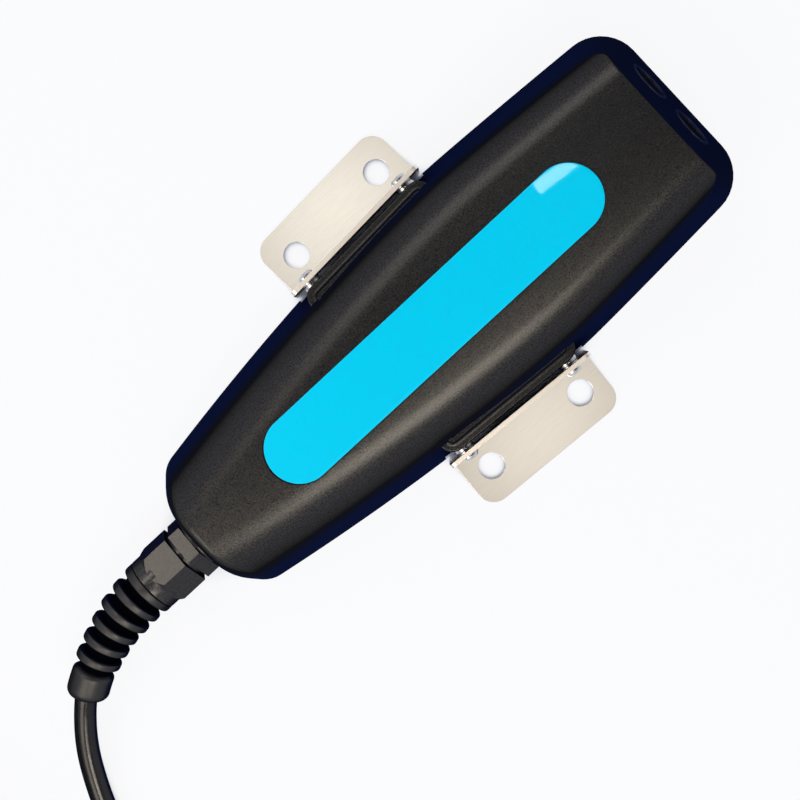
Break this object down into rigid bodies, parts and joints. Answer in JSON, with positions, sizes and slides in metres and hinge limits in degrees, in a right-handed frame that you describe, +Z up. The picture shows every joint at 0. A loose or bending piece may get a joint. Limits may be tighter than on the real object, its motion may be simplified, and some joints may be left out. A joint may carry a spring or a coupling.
{
  "type": "ultrasonic flow meter sensor",
  "caption": "Black wedge-nosed ultrasonic sensor for open-channel flow, with side brackets, cable gland, ribbed bend guard and coiled cable with a round plug.",
  "frame": {"origin": "on the base plane, under the housing's middle, midway between the two brackets", "axes": "+X to the leaning nose with the transducers, +Y to the left side seen from the rear, +Z up from the channel bed"},
  "size_m": [0.453, 0.1366, 0.0459],
  "materials": {
    "housing_black": "fine spark-eroded moulding",
    "base_grey": "moulded",
    "seal_rubber": "moulded",
    "screw_steel": "bright stainless",
    "insert_brass": "turned",
    "label_cyan": "glossy film",
    "bracket_steel": "bright cold-rolled sheet",
    "cup_black": "turned",
    "window_resin": "cast face",
    "crystal_ceramic": "fired, silvered faces",
    "backing_resin": "filled resin",
    "lead_red": "wire insulation",
    "lead_blue": "wire insulation",
    "board_green": "solder mask",
    "chip_black": "moulded package",
    "transformer_ferrite": "sintered core and tape",
    "capacitor_blue": "sleeved can",
    "terminal_green": "moulded",
    "header_cream": "moulded",
    "cell_steel": "turned",
    "gland_nylon": "moulded, slightly shiny",
    "guard_rubber": "moulded",
    "cable_black": "extruded sheath",
    "tie_black": "moulded strap",
    "plug_nickel": "satin nickel-plated",
    "insert_black": "moulded"
  },
  "bodies": {
    "sensor": {"upper_housing": "housing_black", "base_plate": "base_grey", "base_gasket": "seal_rubber", "base_screws": "screw_steel", "base_inserts": "insert_brass", "name_label": "label_cyan", "left_bracket": "bracket_steel", "right_bracket": "bracket_steel", "bracket_screws": "screw_steel", "bracket_spacers": "screw_steel", "bracket_inserts": "insert_brass", "left_cup": "cup_black", "right_cup": "cup_black", "left_window": "window_resin", "right_window": "window_resin", "left_crystal": "crystal_ceramic", "right_crystal": "crystal_ceramic", "left_backing": "backing_resin", "right_backing": "backing_resin", "left_lead": "lead_red", "right_lead": "lead_blue", "circuit_board": "board_green", "board_screws": "screw_steel", "processor": "chip_black", "amplifiers": "chip_black", "transformer": "transformer_ferrite", "capacitors": "capacitor_blue", "cable_terminal": "terminal_green", "sensor_header": "header_cream", "depth_cell": "cell_steel", "depth_seal": "seal_rubber", "depth_ring": "insert_brass", "temperature_probe": "cell_steel", "gland_ring": "seal_rubber", "gland_body": "gland_nylon", "gland_locknut": "gland_nylon", "seal_bush": "seal_rubber", "clamp_cage": "gland_nylon", "bend_guard": "guard_rubber", "cable_entry": "cable_black", "cable_cores": "lead_red", "cable": "cable_black", "cable_coil": "cable_black", "coil_ties": "tie_black", "cable_tail": "cable_black", "plug_body": "plug_nickel", "plug_insert": "insert_black", "plug_contacts": "insert_brass", "plug_bush": "seal_rubber", "plug_back_nut": "plug_nickel"},
    "gland_nut": {"clamping_nut": "gland_nylon"},
    "plug_ring": {"coupling_ring": "plug_nickel"}
  },
  "joints": [
    {"name": "clamping_nut_turn", "type": "hinge", "parent": "sensor", "child": "gland_nut", "pos_m": [-0.11415, 0, 0.0145], "axis": [1, 0, 0], "range_deg": [0, 90]},
    {"name": "coupling_ring_turn", "type": "hinge", "parent": "sensor", "child": "plug_ring", "pos_m": [-0.1995, 0.053, 0.009], "axis": [1, 0, 0], "continuous": true}
  ]
}
